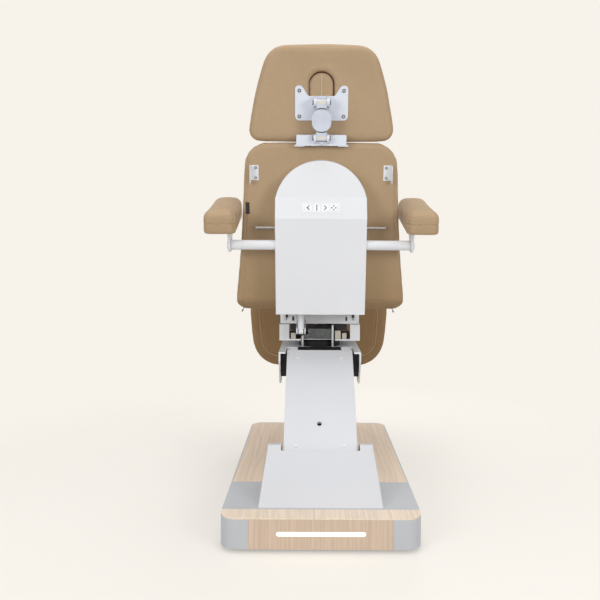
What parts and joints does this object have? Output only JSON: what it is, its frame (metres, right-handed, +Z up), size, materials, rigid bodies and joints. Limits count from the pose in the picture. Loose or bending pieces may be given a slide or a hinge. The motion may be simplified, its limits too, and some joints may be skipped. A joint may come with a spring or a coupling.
{
  "type": "electric treatment chair",
  "caption": "Upholstered treatment chair on a single lifting arm with a flat wheel-less base, tilting seat, reclining back, hinged headrest, folding armrests and leg rest.",
  "frame": {"origin": "on the floor, in the middle of the chair's footprint at rest", "axes": "+Z up, +Y towards the foot end, +X to the right as seen from behind"},
  "size_m": [0.8354, 1.12, 1.6055],
  "materials": {
    "grey_shell": "satin",
    "light_wood": "matt lacquer",
    "lit_lens": "lit, frosted",
    "dark_paint": "matt",
    "rubber": "matt",
    "white_paint": "satin powder coat",
    "black_plastic": "matt",
    "steel": "turned",
    "zinc": "zinc plated",
    "white_plastic": "semi-gloss",
    "bronze": "turned",
    "chrome": "polished",
    "bright_link": "satin",
    "plywood": "raw",
    "upholstery": "smooth artificial leather over foam"
  },
  "bodies": {
    "base": {"base_shell": "grey_shell", "deck_panel": "light_wood", "rim_strip": "light_wood", "rear_panel": "light_wood", "led_lens": "lit_lens", "base_frame": "dark_paint", "levelling_feet": "rubber", "hood": "white_paint", "mains_inlet": "black_plastic", "base_pins": "steel"},
    "lift_drive": {"lift_drive": "black_plastic"},
    "lift_rod": {"lift_rod": "steel"},
    "arm": {"arm_box": "white_paint", "arm_cover": "white_paint", "arm_screw_caps": "white_plastic", "arm_bushes": "bronze"},
    "level_link": {"level_link": "white_paint"},
    "head": {"head_bracket": "white_paint", "head_guards": "black_plastic", "head_pins": "steel", "swivel_race": "black_plastic"},
    "carriage": {"swivel_turntable": "steel", "carriage": "white_paint", "tilt_bracket": "zinc", "tilt_drive": "black_plastic"},
    "tilt_rod": {"tilt_rod": "steel"},
    "seat": {"seat_frame": "white_paint", "seat_board": "plywood", "seat_cushion": "upholstery", "tilt_pins": "steel", "back_hinge_pins": "steel", "leg_hinge_pins": "steel"},
    "backrest": {"back_frame": "dark_paint", "back_cushion": "upholstery", "back_cover": "white_paint", "button_panel": "white_plastic", "armrest_tube": "white_paint", "accessory_bar": "chrome", "roll_brackets": "white_paint", "roll_screws": "steel", "headrest_crossbar": "white_paint", "back_drive": "black_plastic"},
    "back_rod": {"back_rod": "white_paint"},
    "key_1": {"button_1": "white_plastic"},
    "key_2": {"button_2": "white_plastic"},
    "key_3": {"button_3": "white_plastic"},
    "key_4": {"button_4": "white_plastic"},
    "head_link": {"headrest_link": "bright_link", "headrest_pins": "steel"},
    "headrest": {"headrest_plate": "white_paint", "headrest_screws": "steel", "headrest_cushion": "upholstery"},
    "face_plug": {"face_plug": "upholstery"},
    "armrest_left": {"armrest_bracket_left": "white_paint", "armrest_pad_left": "upholstery"},
    "armrest_right": {"armrest_bracket_right": "white_paint", "armrest_pad_right": "upholstery"},
    "legrest": {"legrest_frame": "dark_paint", "legrest_cushion": "upholstery"}
  },
  "joints": [
    {"name": "lift", "type": "hinge", "parent": "base", "child": "arm", "pos_m": [0, -0.3346, 0.1313], "axis": [1, 0, 0], "range_deg": [-20, 8]},
    {"name": "link_swing", "type": "hinge", "parent": "base", "child": "level_link", "pos_m": [0, -0.2646, 0.1213], "axis": [1, 0, 0], "range_deg": [-20, 8]},
    {"name": "head_level", "type": "hinge", "parent": "arm", "child": "head", "pos_m": [0, 0.02688, 0.47674], "axis": [1, 0, 0], "range_deg": [-8, 20]},
    {"name": "lift_drive_swing", "type": "hinge", "parent": "base", "child": "lift_drive", "pos_m": [0, 0.295, 0.075], "axis": [1, 0, 0], "range_deg": [-2.2, 5.3]},
    {"name": "lift_rod_slide", "type": "slide", "parent": "lift_drive", "child": "lift_rod", "axis": [0, -0.8115, 0.5844], "range_m": [-0.1075, 0.0435]},
    {"name": "swivel", "type": "hinge", "parent": "head", "child": "carriage", "pos_m": [0, 0.145, 0.515], "axis": [0, 0, 1], "range_deg": [-90, 90]},
    {"name": "seat_tilt", "type": "hinge", "parent": "carriage", "child": "seat", "pos_m": [0, 0.265, 0.64], "axis": [1, 0, 0], "range_deg": [-12, 0]},
    {"name": "tilt_rod_slide", "type": "slide", "parent": "carriage", "child": "tilt_rod", "axis": [0, 1, 0], "range_m": [-0.014, 0.0001]},
    {"name": "recline", "type": "hinge", "parent": "seat", "child": "backrest", "pos_m": [0, 0.002, 0.662], "axis": [1, 0, 0], "range_deg": [-4, 72]},
    {"name": "back_rod_slide", "type": "slide", "parent": "backrest", "child": "back_rod", "axis": [0, -0.2419, 0.9703], "range_m": [-0.006, 0.1035]},
    {"name": "leg_raise", "type": "hinge", "parent": "seat", "child": "legrest", "pos_m": [0, 0.51, 0.778], "axis": [1, 0, 0], "range_deg": [0, 100]},
    {"name": "headrest_reach", "type": "hinge", "parent": "backrest", "child": "head_link", "pos_m": [0, -0.23428, 1.27737], "axis": [1, 0, 0], "range_deg": [0, 40]},
    {"name": "headrest_nod", "type": "hinge", "parent": "head_link", "child": "headrest", "pos_m": [0, -0.26331, 1.39381], "axis": [1, 0, 0], "range_deg": [0, 40]},
    {"name": "face_plug_pull", "type": "slide", "parent": "headrest", "child": "face_plug", "axis": [0, 0.9703, 0.2419], "range_m": [0, 0.1]},
    {"name": "armrest_left_fold", "type": "hinge", "parent": "backrest", "child": "armrest_left", "pos_m": [-0.321, -0.172, 0.91], "axis": [1, 0, 0], "range_deg": [-8, 88]},
    {"name": "armrest_right_fold", "type": "hinge", "parent": "backrest", "child": "armrest_right", "pos_m": [0.321, -0.172, 0.91], "axis": [1, 0, 0], "range_deg": [-8, 88]},
    {"name": "key_1_press", "type": "slide", "parent": "backrest", "child": "key_1", "axis": [0, 0.97, -0.2431], "range_m": [0, 0.0015], "stiffness_N_per_m": 800},
    {"name": "key_2_press", "type": "slide", "parent": "backrest", "child": "key_2", "axis": [0, 0.97, -0.2431], "range_m": [0, 0.0015], "stiffness_N_per_m": 800},
    {"name": "key_3_press", "type": "slide", "parent": "backrest", "child": "key_3", "axis": [0, 0.97, -0.2431], "range_m": [0, 0.0015], "stiffness_N_per_m": 800},
    {"name": "key_4_press", "type": "slide", "parent": "backrest", "child": "key_4", "axis": [0, 0.97, -0.2431], "range_m": [0, 0.0015], "stiffness_N_per_m": 800}
  ],
  "couplings": [
    {"joint": "link_swing", "follows": "lift", "ratio": 1},
    {"joint": "head_level", "follows": "lift", "ratio": -1},
    {"joint": "lift_drive_swing", "follows": "lift", "ratio": -0.26},
    {"joint": "lift_rod_slide", "follows": "lift", "m_per_rad": 0.305},
    {"joint": "tilt_rod_slide", "follows": "seat_tilt", "m_per_rad": 0.0645},
    {"joint": "back_rod_slide", "follows": "recline", "m_per_rad": 0.0822}
  ]
}
